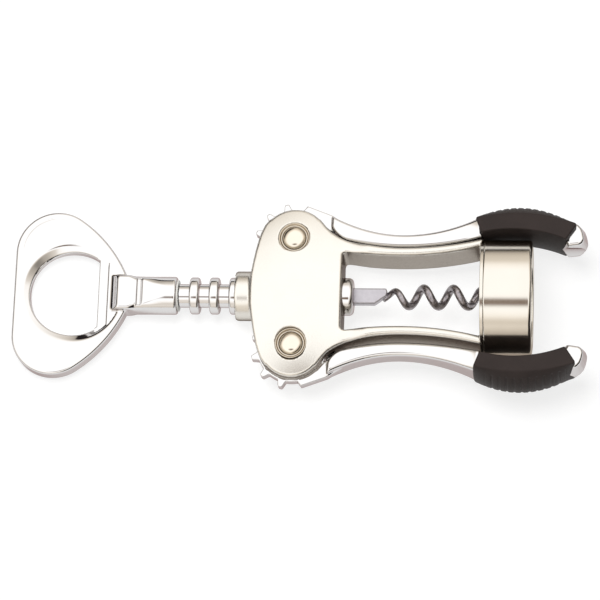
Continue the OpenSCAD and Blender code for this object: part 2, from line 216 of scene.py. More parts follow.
def cast(name, field, lo, hi, step):
    """Skins a distance field with quads that lie on it, one vertex to a cell, and gives it smooth normals."""
    axes = [np.arange(lo[i] - 2.2 * step, hi[i] + 2.6 * step, step) for i in range(3)]
    x, y, z = np.ix_(*axes)
    v = np.ascontiguousarray(np.broadcast_to(field(x, y, z), [len(a) for a in axes]))
    neg = v < 0
    corners = [(i, j, k) for i in (0, 1) for j in (0, 1) for k in (0, 1)]

    def part(a, c):
        """A grid without its last layer on each axis, moved by one where the corner c says so."""
        return a[c[0]:a.shape[0] - 1 + c[0], c[1]:a.shape[1] - 1 + c[1], c[2]:a.shape[2] - 1 + c[2]]

    # one vertex in each cell that the surface crosses, at the mean of the crossings of its edges
    count = sum(part(neg, c).astype(np.int8) for c in corners)
    cells = np.argwhere((count > 0) & (count < 8))
    ids = np.full(count.shape, -1, np.int64)
    ids[tuple(cells.T)] = np.arange(len(cells))
    val = np.stack([v[tuple((cells + c).T)] for c in corners], 1)
    pos, num = np.zeros((len(cells), 3)), np.zeros(len(cells))
    for a in range(8):
        for b in range(a + 1, 8):
            if sum(abs(p - q) for p, q in zip(corners[a], corners[b])) != 1:
                continue
            m = (val[:, a] < 0) != (val[:, b] < 0)
            t = val[m, a] / (val[m, a] - val[m, b])
            pos[m] += np.array(corners[a]) + t[:, None] * (np.array(corners[b]) - np.array(corners[a]))
            num[m] += 1
    co = (cells + pos / num[:, None]) * step + np.array([a[0] for a in axes])

    def slope(p):
        """The field and its gradient at points."""
        f0 = field(*p.T)
        e = step * 0.15
        g = np.stack([field(*(p + e * (np.arange(3) == i)).T) - f0 for i in range(3)], 1) / e
        return f0, g

    # moved along the gradient until it lies on the surface
    for _ in range(3):
        f0, g = slope(co)
        move = (f0 / np.maximum((g * g).sum(1), 0.3))[:, None] * g
        size = np.linalg.norm(move, axis=1, keepdims=True)
        co -= move * np.minimum(1, 0.5 * step / np.maximum(size, 1e-9))
    g = slope(co)[1]
    g /= np.maximum(np.linalg.norm(g, axis=1, keepdims=True), 1e-9)

    # one quad round each grid edge that the surface crosses
    faces = []
    for d in range(3):
        e1, e2 = (d + 1) % 3, (d + 2) % 3
        a = np.take(neg, range(neg.shape[d] - 1), d)
        b = np.take(neg, range(1, neg.shape[d]), d)
        at = np.argwhere(a != b)
        at = at[(at[:, e1] > 0) & (at[:, e2] > 0) & (at[:, e1] < ids.shape[e1]) & (at[:, e2] < ids.shape[e2])]
        quad = []
        for s1, s2 in ((1, 1), (0, 1), (0, 0), (1, 0)):
            c = at.copy()
            c[:, e1] -= s1
            c[:, e2] -= s2
            quad.append(ids[tuple(c.T)])
        quad = np.stack(quad, 1)
        out = a[tuple(at.T)]
        quad[~out] = quad[~out][:, ::-1]
        faces.append(quad)
    faces = np.concatenate(faces)
    mesh = bpy.data.meshes.new(name)
    mesh.from_pydata((co * MM).tolist(), [], faces.tolist())
    mesh.shade_smooth()
    mesh.normals_split_custom_set_from_vertices(g.tolist())
    return stand(name, mesh)


def lathe(name, profile, segments, close=True):
    """Turns a profile of (x, radius) points, in millimetres and with its corners already rounded, about the X axis."""
    p = np.asarray(profile, float)
    n = len(p)
    a = np.arange(segments) * 2 * math.pi / segments
    co = np.stack([np.repeat(p[:, 0][None], segments, 0),
                   p[:, 1][None] * np.cos(a)[:, None],
                   p[:, 1][None] * np.sin(a)[:, None]], 2).reshape(-1, 3)
    faces = []
    last = n if close else n - 1
    for s in range(segments):
        t = (s + 1) % segments
        for i in range(last):
            j = (i + 1) % n
            faces.append((s * n + i, t * n + i, t * n + j, s * n + j))
    mesh = bpy.data.meshes.new(name)
    mesh.from_pydata((co * MM).tolist(), [], faces)
    tidy = bmesh.new()
    tidy.from_mesh(mesh)
    bmesh.ops.remove_doubles(tidy, verts=tidy.verts, dist=1e-6)
    bmesh.ops.dissolve_degenerate(tidy, edges=tidy.edges, dist=1e-7)
    bmesh.ops.recalc_face_normals(tidy, faces=tidy.faces)
    tidy.to_mesh(mesh)
    tidy.free()
    mesh.shade_smooth()
    return stand(name, mesh)


def rounded(points, radii, n=6):
    """A closed profile with each corner rounded to its own radius."""
    p = [np.array(q, float) for q in points]
    out = []
    for i, (c, r) in enumerate(zip(p, radii)):
        a, b = p[i - 1], p[(i + 1) % len(p)]
        u, v = (a - c) / np.linalg.norm(a - c), (b - c) / np.linalg.norm(b - c)
        half = math.acos(max(-1, min(1, float(u @ v)))) / 2
        if r <= 0 or half > math.pi / 2 - 0.02:
            out.append(c)
            continue
        d = min(r / math.tan(half), 0.48 * np.linalg.norm(a - c), 0.48 * np.linalg.norm(b - c))
        r = d * math.tan(half)
        centre = c + (u + v) / np.linalg.norm(u + v) * r / math.sin(half)
        s, e = c + u * d - centre, c + v * d - centre
        a0, a1 = math.atan2(s[1], s[0]), math.atan2(e[1], e[0])
        turn = (a1 - a0 + math.pi) % (2 * math.pi) - math.pi
        out += [centre + r * np.array([math.cos(a0 + turn * t / n), math.sin(a0 + turn * t / n)]) for t in range(n + 1)]
    return out


# ---------------------------------------------------------------- head, arms and collar in one casting
head_edge = [(pivot_x - 13.2, -20), (pivot_x - 13.2, 0), (pivot_x - 13.1, 4.6), (pivot_x - 12.5, 8.9),
             (pivot_x - 11.8, 13), (pivot_x - 10.9, pivot_y + 0.3), (pivot_x - 10.2, pivot_y + 2.4),
             (pivot_x - 9.3, pivot_y + 4.6), (pivot_x - lobe_r * 0.797, pivot_y + lobe_r * 0.633),
             (pivot_x, pivot_y + 2), (pivot_x + lobe_r * 0.766, pivot_y + lobe_r * 0.643),
             (pivot_x + 9.5, pivot_y + 4.3), (pivot_x + 11.1, pivot_y + 2.6), (pivot_x + 13, pivot_y + 0.9),
             (wall_x1, pivot_y - 0.9), (wall_x1, -20)]
arm_edge = strip(np.linspace(wall_x0 - 1.2, -bell_l + 0.5, 24),
                 lambda x: waist(x, 13.9, 0.0085, 0.0048), lambda x: waist(x, 11.4, 0.0040, 0.0050))


def casting(x, y, z):
    """The domed head with both arms, the ring and floor behind the bell, and the collar, with every hollow cut."""
    ay, az, r = np.abs(y), np.abs(z), np.hypot(y, z)
    at = np.hypot(x - pivot_x, ay - pivot_y)
    head = soft_min(outline(x, ay, head_edge), at - lobe_r, 0.8)
    plan = soft_min(head - 0.1, outline(x, ay, arm_edge) - 0.1, 1.6)
    dome = np.sqrt(np.maximum(dome_r ** 2 - (x - pivot_x) ** 2 - y ** 2, 1)) - dome_r + dome_h
    along = smooth((x - dome_end) / dome_fade)
    shape = soft_max(plan, (az - dome * (1 - along) - arm_z * along) * 0.98, 1.0 + 0.5 * along)
    ring = np.maximum(np.maximum(-bell_l - x, x + bell_l - flange_l), r - bell_r + 0.7)
    plug = np.maximum(np.maximum(-bell_l - x, x - seat_lo[0]), r - bore_r - 0.65)
    shape = soft_min(shape, np.minimum(ring, plug), 0.7)
    collar = soft_max(soft_max(collar_x0 - x, r - collar_r, 1.4), x - collar_x1, 0.3)
    shape = soft_min(shape, collar, 0.7)
    # slot for the gears, and the ways for shank, bush and worm
    slot = np.maximum(np.maximum(az - cheek_z, x - wall_x0), -np.maximum(r - collar_r + 0.01, x - collar_x1))
    shape = soft_max(shape, -slot, 0.3)
    way = np.maximum(r - shaft_hole, x - wall_x1 - 1)
    bush = np.maximum(r - shaft_hole - 0.7, x - pivot_x + 10.2)
    mouth = np.maximum(r - worm_r - 2.4, -bell_l - 1 - x)
    shape = soft_max(shape, -np.minimum(np.minimum(way, bush), mouth), 0.4)
    # recess around each rivet, with a groove in its floor
    seat = soft_max(at - recess_r, recess_z - az, 0.5)
    ditch = np.hypot(at - 4.3, az - recess_z + 0.05) - 0.7
    return soft_max(soft_max(shape, -soft_min(seat, ditch, 0.3), 0.4), -(at - 2.41), 0.2)


# ---------------------------------------------------------------- levers, with gear, web, arm and polished tip
tooth = [(root_r - 1, -1.3), (root_r, -1.3), (tip_r - 0.3, -0.75), (tip_r, -0.45), (tip_r, 0.45),
         (tip_r - 0.3, 0.75), (root_r, 1.3), (root_r - 1, 1.3)]
web = [(pivot_x + root_r * 0.72, pivot_y + root_r * 0.5), (pivot_x + root_r * 0.17, pivot_y + root_r * 0.96),
       (pivot_x + tip_r * 0.25, pivot_y + tip_r * 0.94), (pivot_x + tip_r * 0.86, pivot_y + tip_r * 0.71),
       (pivot_x + 15.5, pivot_y + 6.4), (pivot_x + 18, float(lever_in(pivot_x + 18)) + 0.2)]
lever_edge = strip(np.linspace(pivot_x + 10.2, arm_end, 24), lever_out, lever_in)
tip_edge = [(10.2, 14.6), (8.3, 18), (9.9, 21.6), (11.6, 23.9), (13.5, 24.5), (14.9, 23.6), (16, 22.3),
            (16.6, 20.7), (16.95, 19), (17, 17.9), (16.6, 16.7), (15.9, 15.8), (14.8, 15.1), (12, 14.7)]


def lever(x, y, z):
    """Gear sector, web, crowned arm that thickens toward the grip, core in the grip, and tip."""
    az = np.abs(z)
    rx, ry = x - pivot_x, y - pivot_y
    rad, ang = np.hypot(rx, ry), np.degrees(np.arctan2(ry, rx))
    tooth_step = 360 / gear_teeth
    turn = (first_tooth - ang) / tooth_step
    near = np.round(turn)
    local = np.radians((turn - near) * tooth_step)
    cut = np.mod(near, gear_teeth) < cut_teeth - 0.5
    teeth = np.where(cut, outline(rad * np.cos(local), rad * np.sin(local), tooth), 4.0)
    shape = soft_max(soft_min(rad - root_r, teeth, 0.4), az - gear_half, 0.35)
    shape = np.minimum(shape, soft_max(outline(x, y, web), az - gear_half, 0.5))
    mid, half = (lever_in(x) + lever_out(x)) / 2, (lever_out(x) - lever_in(x)) / 2
    rise = 4.4 + 2.3 * np.clip((x + 44) / 29, 0, 1) ** 2 + 0.5 * np.clip((x + 21) / 4, 0, 1) ** 2
    crown = 0.35 * np.clip((y - mid) / half, -1.2, 1.2) ** 2
    shoulder = pivot_x + 11.3 + 0.16 * np.maximum(0, 22.8 - y) ** 2 - x
    arm = soft_max(soft_max(outline(x, y, lever_edge), shoulder, 0.6), az - rise + crown, 1.25)
    shape = soft_min(shape, arm, 0.7)
    sides = np.maximum(np.hypot(x - grip_cx, y + 0.8) - 26, 37.4 - np.hypot(x - grip_cx + 0.5, y + 14.9))
    core = np.maximum(sides, np.maximum(np.maximum(-17 - x, x - 12.4), az - grip_z + 2.6))
    tip = soft_max((outline(x, y, tip_edge) + 0.22 * az) * 0.976, az - 6.5, 1.1)
    shape = np.minimum(shape, soft_min(core, tip, 0.5))
    return soft_max(shape, 2.46 - rad, 0.2)


# ---------------------------------------------------------------- grips, ribbed on the outside
grip_edge = [(-18.6, 31), (-17.8, 24), (-15.9, 19), (-15.5, 13), (8.4, 13), (10.4, 17.4), (13.4, 21.9),
             (13.7, 23.6), (12.4, 26), (10.4, 28.2), (7.5, 31)]


def grip(x, y, z):
    """An outer side on an arc that turns down to a crease, with ribs in the same moulding, and a hollow inner side."""
    az = np.abs(z)
    girth = girth_y + np.sqrt(np.maximum(girth_r ** 2 - (x - grip_cx) ** 2, 1))
    crease = np.minimum(crease_y - (x - grip_cx + 1) ** 2 / crease_bend, girth - 0.4)
    fall = 1 - np.sqrt(1 - (np.minimum(az, grip_z) / grip_z) ** 2 * side_bulge)
    out = (y - girth + (girth - crease) * fall / whole_fall) * 0.8
    turn = (x - rib_first) / rib_pitch
    near = np.clip(np.round(turn), 0, rib_count - 1)
    row = np.clip((rib_count / 2 - np.abs(turn - (rib_count - 1) / 2)) * 4, 0, 1)
    out = out + rib_depth * smooth((np.abs(turn - near) - 0.27) / 0.16) * row * np.clip((rib_z - az) / 0.7, 0, 1)
    inn = 42.0 - np.hypot(x - grip_cx + 2, y + 21.55) - 0.9 * (1 - (z / grip_z) ** 2)
    shape = soft_max(soft_max(out, inn, 0.8), az - grip_z, 0.3)
    return soft_max(shape, outline(x, y, grip_edge), 0.7)


def hung(field, side):
    """The lever leans a little in its play, and makes room for a bottle's neck in the bell."""
    a = math.radians(lever_sag)
    c, s = math.cos(a), math.sin(a)

    def placed(x, y, z):
        dx, dy = x - pivot_x, y - side * pivot_y
        u, v = dx * c - dy * s, dx * s + dy * c
        shape = field(u + pivot_x, side * (v + side * pivot_y), z)
        return np.maximum(shape, -np.maximum(np.hypot(y, z) - bore_r - 0.05, -x))

    return placed


# ---------------------------------------------------------------- handle: cap lifter plate, neck and shank
# the plate's flank is an arc that leaves the lobe's circle at a tangent and aims for the axis at flank_end past the
# lobe's centre; flank_k is the slope of the line through the centres of both, and the arc ends at the height flank_foot
flank_end = neck_x - plate_x0 - plate_lobe - 0.27
flank_k = 1.463
flank_foot = 4.6
flank_dx = ((flank_end ** 2 + lobe_y ** 2 - plate_lobe ** 2)
            / (2 * (lobe_y * flank_k + plate_lobe * math.sqrt(1 + flank_k ** 2) - flank_end)))
flank_dy = flank_k * flank_dx
flank_r = math.hypot(flank_dx, flank_dy) + plate_lobe
lean = math.degrees(math.atan2(flank_dy, flank_dx))
low = math.degrees(math.asin((flank_foot + flank_dy - lobe_y) / flank_r))
plate_edge = ([(plate_x0, -12), (plate_x0, lobe_y)] + arc(lobe_x, lobe_y, plate_lobe, 180, lean, 26)[1:]
              + arc(lobe_x - flank_dx, lobe_y - flank_dy, flank_r, lean, low, 22)[1:])
plate_edge.append((plate_edge[-1][0], -12))


def cap_lifter(x, y, z):
    """The plate with its dished hole and tongue, and a neck that turns from a flat block into the round shank."""
    ay, az, r = np.abs(y), np.abs(z), np.hypot(y, z)
    rim = outline(x, ay, plate_edge)
    line = 0.11 * np.exp(-((rim + 2.2) / 0.25) ** 2) * np.clip((y - 2) / 8, 0, 1)
    plate = soft_max(rim, az - plate_half + line, 1.2)
    at = np.hypot(x - hole_x, y)
    slant = ((x - hole_x) * -0.72 + y * 0.69) ** 2 / np.maximum(at * at, 1)
    rise = 0.42 + 0.42 * slant * slant
    tongue = 2.1 + 0.5 * np.clip((x - tongue_x - 2.9) / 0.3, 0, 1)
    bed = np.where(x > tongue_x - 0.6, tongue, 1.1)
    dish = np.maximum((at - hole_r - 2.6) * rise - (az - plate_half), bed - az) * (1.0 - 0.1 * slant)
    plate = soft_max(plate, -dish, 0.5)
    plate = soft_max(plate, -np.maximum(at - hole_r, x - tongue_x), 0.5)
    turned_end = smooth((x - pocket_x + 3) / 12)
    block = soft_max(ay - 5.6, az - boss_z, 1.5)
    neck = soft_max(np.maximum(boss_front - x, x - shank_end),
                    block * (1 - turned_end) + (r - shank_r) * turned_end, 0.9)
    neck = soft_max(neck, (az - 2.6 - (x - boss_front) * 0.88) * 0.75, 0.4)
    # the part that enters the collar at full travel keeps clear of the bush
    neck = soft_max(neck, r - shank_r - 0.15 - np.clip((neck_x + 0.6 - x) * 0.4, 0, 3), 0.4)
    pocket = np.maximum((boss_z - 0.35 + (x - pocket_x) * 0.175 - az) * 0.98, pocket_x - x)
    groove = np.maximum(np.hypot(x - pocket_x - 0.6, az - boss_z) - 0.8, ay - 4.2)
    neck = soft_max(neck, -soft_min(pocket, groove, 0.5), 0.25)
    return soft_min(plate, neck, 0.7)


# ---------------------------------------------------------------- flat shank of the worm, with its bevelled corner
flat_x0, flat_x1 = ferrule_hi[0] - 0.8, ferrule_hi[0] + 10.5
shank_edge = [(flat_x0, -flat_w), (flat_x1 - 3.5, -flat_w), (flat_x1 + 0.1, 0.1), (flat_x1 + 0.4, 1.4),
              (flat_x1, flat_w), (flat_x0, flat_w)]


def worm_flat(x, y, z):
    """A flat strip with rounded edges."""
    return soft_max(outline(x, y, shank_edge), np.abs(z) - flat_half, 0.7)


# ---------------------------------------------------------------- node trees
def link(tree, a, b):
    """Joins an output to an input."""
    tree.links.new(a, b)


def node(tree, kind, **inputs):
    """A node with its inputs, given by name with _ for a space, set or joined to a socket; other names are settings."""
    n = tree.nodes.new(kind)
    for key, value in inputs.items():
        label = key.replace("_", " ")
        if label not in n.inputs:
            setattr(n, key, value)
        elif isinstance(value, bpy.types.NodeSocket):
            link(tree, value, n.inputs[label])
        else:
            n.inputs[label].default_value = value
    return n


def sums(tree, operation, *values):
    """The result of a maths node on one or more values or sockets."""
    n = node(tree, "ShaderNodeMath", operation=operation)
    for i, value in enumerate(values):
        if isinstance(value, bpy.types.NodeSocket):
            link(tree, value, n.inputs[i])
        else:
            n.inputs[i].default_value = value
    return n.outputs[0]


def eased(tree, value, **ends):
    """A value taken from one range to another with soft ends, from 0 to 1 where an end isn't given."""
    return node(tree, "ShaderNodeMapRange", interpolation_type="SMOOTHSTEP", Value=value, **ends).outputs["Result"]


# ---------------------------------------------------------------- finishes
def coat_of(name, colour, metallic, rough, *, swing, mottle, cloud, grain, relief, depth, stretch=(1, 1, 1), edge_shade=None,
            gleam=0.5):
    """A finish with a little variation in colour and gloss, and a fine grain in relief.

    swing and mottle say how much gloss and colour vary, cloud and grain are the noise scales of colour and relief,
    depth is in millimetres, and the edge tint darkens a metal where it is seen at a low angle: painted shade on its
    side walls and rounded rims."""
    m = bpy.data.materials.new(name)
    m.use_nodes = True
    t = m.node_tree
    b = t.nodes["Principled BSDF"]
    b.inputs["Metallic"].default_value = metallic
    b.inputs["Specular IOR Level"].default_value = gleam
    # painted shade: a dark tint on reflections seen at a low angle darkens side walls and rims
    if edge_shade:
        b.inputs["Specular Tint"].default_value = (*edge_shade, 1)
    where = t.nodes.new("ShaderNodeTexCoord").outputs["Object"]
    place = node(t, "ShaderNodeMapping", Vector=where, Scale=stretch).outputs["Vector"]
    clouds = node(t, "ShaderNodeTexNoise", Vector=where, Scale=cloud, Detail=3).outputs["Fac"]
    fine = node(t, "ShaderNodeTexNoise", Vector=place, Scale=grain, Detail=3).outputs["Fac"]
    ramp = node(t, "ShaderNodeValToRGB", Fac=clouds)
    for stop, at, gain in zip(ramp.color_ramp.elements, (0.3, 0.7), (1 - mottle, 1 + mottle)):
        stop.position = at
        stop.color = (*[min(1, c * gain) for c in colour], 1)
    gloss = node(t, "ShaderNodeMapRange", Value=fine, From_Min=0.25, From_Max=0.75,
                 To_Min=max(0.01, rough - swing), To_Max=rough + swing)
    bump = node(t, "ShaderNodeBump", Height=fine, Strength=relief, Distance=depth * MM)
    link(t, ramp.outputs["Color"], b.inputs["Base Color"])
    link(t, gloss.outputs["Result"], b.inputs["Roughness"])
    link(t, bump.outputs["Normal"], b.inputs["Normal"])
    return m


# the edge tints of these metals are painted shade on their side walls and rims
chrome = coat_of("polished_chrome", (0.66, 0.652, 0.648), 1, 0.06, swing=0.02, mottle=0.012, cloud=120, grain=420,
                 relief=0.2, depth=0.02, edge_shade=(0.52, 0.44, 0.43))
nickel = coat_of("satin_nickel_cast", (0.70, 0.675, 0.625), 1, 0.27, swing=0.03, mottle=0.015, cloud=140, grain=5200,
                 relief=0.2, depth=0.02, edge_shade=(0.12, 0.085, 0.075))
brushed = coat_of("satin_nickel_brushed", (0.66, 0.625, 0.565), 1, 0.15, swing=0.02, mottle=0.02, cloud=90, grain=6500,
                  relief=0.05, depth=0.01, stretch=(1, 0.02, 0.02), edge_shade=(0.45, 0.38, 0.32))
# a darker metal for the rings in the rivet recesses: painted shade of the recesses
recess_shade_metal = coat_of("rivet_recess_painted_shade", (0.50, 0.44, 0.36), 1, 0.16, swing=0.03, mottle=0.06, cloud=200, grain=900,
                 relief=0.2, depth=0.015, edge_shade=(0.2, 0.15, 0.11))
brassy = coat_of("rivet_chrome", (0.68, 0.63, 0.54), 1, 0.12, swing=0.03, mottle=0.03, cloud=200, grain=900,
                 relief=0.2, depth=0.015, edge_shade=(0.35, 0.26, 0.2))
turned = coat_of("turned_steel", (0.6, 0.6, 0.62), 1, 0.28, swing=0.06, mottle=0.03, cloud=150, grain=5000,
                 relief=0.3, depth=0.02, stretch=(1, 0.03, 0.03))
gunmetal = coat_of("worm_gunmetal", (0.30, 0.275, 0.285), 1, 0.3, swing=0.08, mottle=0.35, cloud=1400, grain=3000,
                   relief=0.4, depth=0.03)
sanded = coat_of("worm_shank_sanded", (0.46, 0.44, 0.465), 1, 0.42, swing=0.08, mottle=0.05, cloud=900, grain=3200,
                 relief=0.8, depth=0.06)
rubber = coat_of("soft_black_rubber", (0.027, 0.0195, 0.0175), 0, 0.62, swing=0.08, mottle=0.12, cloud=160, grain=3800,
                 relief=0.5, depth=0.03, gleam=0.28)
black_plastic = coat_of("moulded_black_plastic", (0.05, 0.05, 0.05), 0, 0.5, swing=0.06, mottle=0.1, cloud=200,
                        grain=2600, relief=0.4, depth=0.03)
pale_plastic = coat_of("moulded_pale_plastic", (0.80, 0.79, 0.75), 0, 0.45, swing=0.05, mottle=0.03, cloud=200,
                       grain=2600, relief=0.35, depth=0.03)


# ---------------------------------------------------------------- growing repeated forms
def soften(obj, limit=40):
    """Corner normals weighted by face area, so that flats stay flat up to their rounded edges.

    Edges that bend by more than limit, in degrees, stay sharp."""
    mesh = obj.data
    mesh.shade_smooth()
    faces, loops = len(mesh.polygons), len(mesh.loops)
    normal, area, total = np.zeros(faces * 3), np.zeros(faces), np.zeros(faces, np.int64)
    vert = np.zeros(loops, np.int64)
    mesh.polygons.foreach_get("normal", normal)
    mesh.polygons.foreach_get("area", area)
    mesh.polygons.foreach_get("loop_total", total)
    mesh.loops.foreach_get("vertex_index", vert)
    normal = normal.reshape(-1, 3)
    face = np.repeat(np.arange(faces), total)
    order = np.argsort(vert, kind="stable")
    sv = vert[order]
    start = np.searchsorted(sv, np.arange(len(mesh.vertices)))
    count = np.bincount(vert, minlength=len(mesh.vertices))
    out = np.zeros((loops, 3))
    bend = math.cos(math.radians(limit))
    for k in range(int(count.max())):
        mate = np.where(k < count[vert], order[np.minimum(start[vert] + k, loops - 1)], -1)
        f = face[mate]
        near = (mate >= 0) & ((normal[f] * normal[face]).sum(1) > bend)
        out[near] += normal[f[near]] * area[f[near]][:, None]
    out /= np.maximum(np.linalg.norm(out, axis=1, keepdims=True), 1e-15)
    mesh.normals_split_custom_set(out.tolist())
    return obj


def grower(name, inputs):
    """A node tree with named inputs that ends in Realize Instances and Set Material."""
    tree = bpy.data.node_groups.new(name, "GeometryNodeTree")
    tree.interface.new_socket("Geometry", in_out="OUTPUT", socket_type="NodeSocketGeometry")
    ids = {label: tree.interface.new_socket(label, in_out="INPUT", socket_type="NodeSocket" + kind).identifier
           for label, kind in list(inputs.items()) + [("Finish", "Material")]}
    source = tree.nodes.new("NodeGroupInput").outputs
    real = tree.nodes.new("GeometryNodeRealizeInstances")
    paint = tree.nodes.new("GeometryNodeSetMaterial")
    end = tree.nodes.new("NodeGroupOutput")
    link(tree, real.outputs[0], paint.inputs["Geometry"])
    link(tree, source["Finish"], paint.inputs["Material"])
    link(tree, paint.outputs[0], end.inputs[0])
    return tree, ids, source, real.inputs[0]


def grow(name, tree, ids, **values):
    """Runs a tree on an empty seed and keeps the mesh that it makes."""
    start = stand(name + "_seed", bpy.data.meshes.new(name + "_seed"))
    modifier = start.modifiers.new("grow", "NODES")
    modifier.node_group = tree
    for label, value in values.items():
        modifier[ids[label.replace("_", " ")]] = value
    start.update_tag()
    ready = start.evaluated_get(bpy.context.evaluated_depsgraph_get())
    mesh = bpy.data.meshes.new_from_object(ready)
    bpy.data.objects.remove(start)
    mesh.name = name
    return stand(name, mesh)


def clean(obj, shift=None):
    """Merges doubles, turns faces outward, and lays the piece where shift puts it."""
    tidy = bmesh.new()
    tidy.from_mesh(obj.data)
    if shift is not None:
        bmesh.ops.transform(tidy, matrix=shift, verts=tidy.verts)
    bmesh.ops.remove_doubles(tidy, verts=tidy.verts, dist=1e-6)
    bmesh.ops.recalc_face_normals(tidy, faces=tidy.faces)
    tidy.to_mesh(obj.data)
    tidy.free()
    return soften(obj)


def rings_tree():
    """A core with a row of rings on it, each a rounded section swept round the axis."""
    tree, ids, src, out = grower("spindle_rings", {
        "First Ring": "Float", "Pitch": "Float", "Rings": "Int", "Ring Width": "Float", "Ring Radius": "Float",
        "Core Radius": "Float", "Corner": "Float", "Core Start": "Float", "Core End": "Float"})
    depth = sums(tree, "ADD", sums(tree, "SUBTRACT", src["Ring Radius"], src["Core Radius"]), 0.0004)
    mid = sums(tree, "SUBTRACT", src["Ring Radius"], sums(tree, "MULTIPLY", depth, 0.5))
    hoop = node(tree, "GeometryNodeCurvePrimitiveCircle", Resolution=128, Radius=mid)
    section = node(tree, "GeometryNodeCurvePrimitiveQuadrilateral", Width=depth, Height=src["Ring Width"])
    soft = node(tree, "GeometryNodeFilletCurve", mode="POLY", Curve=section.outputs[0], Count=5, Radius=src["Corner"])
    swept = node(tree, "GeometryNodeCurveToMesh", Curve=hoop.outputs["Curve"])
    link(tree, soft.outputs[0], swept.inputs["Profile Curve"])
    upright = node(tree, "GeometryNodeTransform", Geometry=swept.outputs[0], Rotation=(0, math.pi / 2, 0))
    start = node(tree, "ShaderNodeCombineXYZ", X=src["First Ring"])
    step = node(tree, "ShaderNodeCombineXYZ", X=src["Pitch"])
    row = node(tree, "GeometryNodeMeshLine", Count=src["Rings"])
    link(tree, start.outputs[0], row.inputs["Start Location"])
    link(tree, step.outputs[0], row.inputs["Offset"])
    many = node(tree, "GeometryNodeInstanceOnPoints", Points=row.outputs[0], Instance=upright.outputs[0])
    a = node(tree, "ShaderNodeCombineXYZ", X=src["Core Start"])
    b = node(tree, "ShaderNodeCombineXYZ", X=src["Core End"])
    line = node(tree, "GeometryNodeCurvePrimitiveLine", Start=a.outputs[0], End=b.outputs[0])
    thick = node(tree, "GeometryNodeCurvePrimitiveCircle", Resolution=128, Radius=src["Core Radius"])
    core = node(tree, "GeometryNodeCurveToMesh", Curve=line.outputs[0])
    link(tree, thick.outputs["Curve"], core.inputs["Profile Curve"])
    join = tree.nodes.new("GeometryNodeJoinGeometry")
    link(tree, many.outputs[0], join.inputs[0])
    link(tree, core.outputs[0], join.inputs[0])
    link(tree, join.outputs[0], out)
    return tree, ids


def worm_tree():
    """A wire wound on the axis that swells out from the shank and thins to a point."""
    tree, ids, src, out = grower("worm_wire", {
        "Start": "Float", "Pitch": "Float", "Turns": "Float", "Coil Radius": "Float", "Wire Radius": "Float",
        "First Angle": "Float", "Swell": "Float", "Point": "Float"})
    line = node(tree, "GeometryNodeCurvePrimitiveLine")
    fine = node(tree, "GeometryNodeResampleCurve", Curve=line.outputs[0], Count=240)
    t = tree.nodes.new("GeometryNodeSplineParameter").outputs["Factor"]
    turns = sums(tree, "MULTIPLY", t, src["Turns"])
    left = sums(tree, "SUBTRACT", src["Turns"], turns)
    angle = sums(tree, "ADD", src["First Angle"], sums(tree, "MULTIPLY", turns, 2 * math.pi))
    r = sums(tree, "MULTIPLY", src["Coil Radius"], eased(tree, turns, From_Max=src["Swell"], To_Min=0.38))
    x = sums(tree, "ADD", src["Start"], sums(tree, "MULTIPLY", turns, src["Pitch"]))
    y, z = (sums(tree, "MULTIPLY", r, sums(tree, wave, angle)) for wave in ("COSINE", "SINE"))
    place = node(tree, "ShaderNodeCombineXYZ", X=x, Y=y, Z=z)
    coil = node(tree, "GeometryNodeSetPosition", Geometry=fine.outputs[0], Position=place.outputs[0])
    section = node(tree, "GeometryNodeCurvePrimitiveCircle", Resolution=22, Radius=src["Wire Radius"])
    wire = node(tree, "GeometryNodeCurveToMesh", Curve=coil.outputs[0])
    link(tree, section.outputs["Curve"], wire.inputs["Profile Curve"])
    thin = sums(tree, "MULTIPLY", eased(tree, turns, From_Max=src["Swell"], To_Min=0.72),
                eased(tree, left, From_Max=src["Point"], To_Min=0.06))
    link(tree, thin, wire.inputs["Scale"])
    wire.inputs["Fill Caps"].default_value = True
    link(tree, wire.outputs[0], out)
    return tree, ids


# ---------------------------------------------------------------- making and placing the pieces
def dress(obj, finish):
    """Gives a piece one finish all over."""
    obj.data.materials.clear()
    obj.data.materials.append(finish)


def settle(obj, body, slot, finish, *nodes):
    """Gives a piece its finish and body, and puts it in the place of CAD nodes; slot is not used."""
    dress(obj, finish)
    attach(obj, body)
    if nodes:
        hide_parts(*nodes)


def joined(name, objects):
    """One piece made of several."""
    tidy = bmesh.new()
    for o in objects:
        tidy.from_mesh(o.data)
        bpy.data.objects.remove(o)
    mesh = bpy.data.meshes.new(name)
    tidy.to_mesh(mesh)
    tidy.free()
    return soften(stand(name, mesh))


settle(cast("head_casting", casting, (collar_x0, -27.2, -dome_h), (seat_lo[0], 27.2, dome_h), 0.42),
       "body", "satin_nickel", nickel, "frame")

flange_shape = rounded([(-bell_l, bell_r - 1.4), (-bell_l, bell_r - 0.03), (flange_l - bell_l, bell_r - 0.03),
                        (flange_l - bell_l, bell_r - 1.4)], [0.05, 0.16, 0.08, 0.05])
settle(soften(lathe("bell_flange", flange_shape, 192)), "body", "satin_nickel", brushed)

bell_shape = rounded([(bell_lo[0] + 0.02, bore_r + 0.5), (bell_lo[0] + 0.02, bell_r - 0.1), (bell_lo[0] + 0.3, bell_r),
                      (-0.05, bell_r), (-0.02, bore_r), (seat_hi[0] + 0.05, bore_r), (seat_hi[0] + 0.05, bore_r + 0.5)],
                     [0.05, 0.25, 0.5, 1.1, 0.7, 0.05, 0.05])
settle(soften(lathe("bell_cup", bell_shape, 192)), "body", "satin_nickel", brushed, "bell")

ferrule_shape = rounded([(ferrule_lo[0], 2.8), (ferrule_lo[0], ring_r + 0.1), (ferrule_hi[0] + 0.4, ring_r + 0.1),
                         (ferrule_hi[0] + 0.4, 2.8)], [0, 0.9, 1.5, 0])
settle(soften(lathe("worm_ferrule", ferrule_shape, 128)), "screw", "chrome", chrome, "ferrule")

